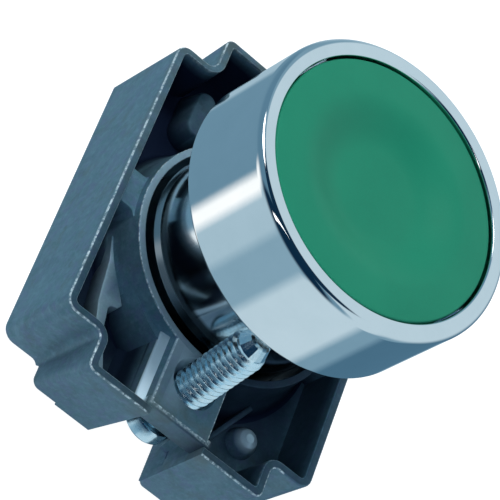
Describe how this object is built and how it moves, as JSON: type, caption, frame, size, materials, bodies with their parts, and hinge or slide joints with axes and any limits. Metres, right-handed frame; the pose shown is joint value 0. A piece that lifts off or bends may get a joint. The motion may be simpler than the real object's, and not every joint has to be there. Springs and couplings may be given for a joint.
{
  "type": "industrial push button",
  "caption": "Round flush push button in a chromed bezel, locked into a rectangular die-cast fixing collar with a leaning clamp screw.",
  "frame": {"origin": "on the button's axis, in the plane where the bezel's rear face meets the panel", "axes": "+Z along the axis towards the operator; +Y towards the collar's lever side, away from the clamp screw; X across the collar"},
  "size_m": [0.0304, 0.0458, 0.0319],
  "materials": {
    "chrome": "polished, slightly soft",
    "green_cap": "satin, fine grain",
    "zinc_casting": null,
    "plated_steel": "bright zinc plate",
    "spring_steel": "bare spring steel",
    "black_rubber": "matt",
    "white_nylon": "matt",
    "dark_plastic": "matt"
  },
  "bodies": {
    "head": {"bezel_body": "chrome", "panel_gasket": "black_rubber", "locating_key": "chrome", "return_spring": "spring_steel", "spring_washer": "plated_steel", "guide_bush": "white_nylon", "snap_ring": "spring_steel", "seal_bellows": "black_rubber", "seal_clamp_ring": "plated_steel", "collar_frame": "zinc_casting", "retainer_plate": "plated_steel", "retainer_screws": "plated_steel", "detent_spring": "spring_steel"},
    "button": {"push_cap": "green_cap", "plunger": "white_nylon", "contact_pusher": "dark_plastic", "stop_clip": "spring_steel"},
    "lock": {"lock_ring": "plated_steel", "lever_grip": "dark_plastic", "lever_rivet": "plated_steel"},
    "screw": {"clamp_screw": "plated_steel"}
  },
  "joints": [
    {"name": "button_press", "type": "slide", "parent": "head", "child": "button", "axis": [0, 0, -1], "range_m": [0, 0.004], "stiffness_N_per_m": 500, "springref_m": -0.004, "deforming": ["return_spring", "seal_bellows"]},
    {"name": "lock_turn", "type": "hinge", "parent": "head", "child": "lock", "pos_m": [0, 0, -0.0182], "axis": [0, 0, 1], "range_deg": [0, 30]},
    {"name": "clamp_screw_feed", "type": "slide", "parent": "head", "child": "screw", "axis": [0, 0.2079, 0.9782], "range_m": [-0.008, 0.0006]}
  ]
}
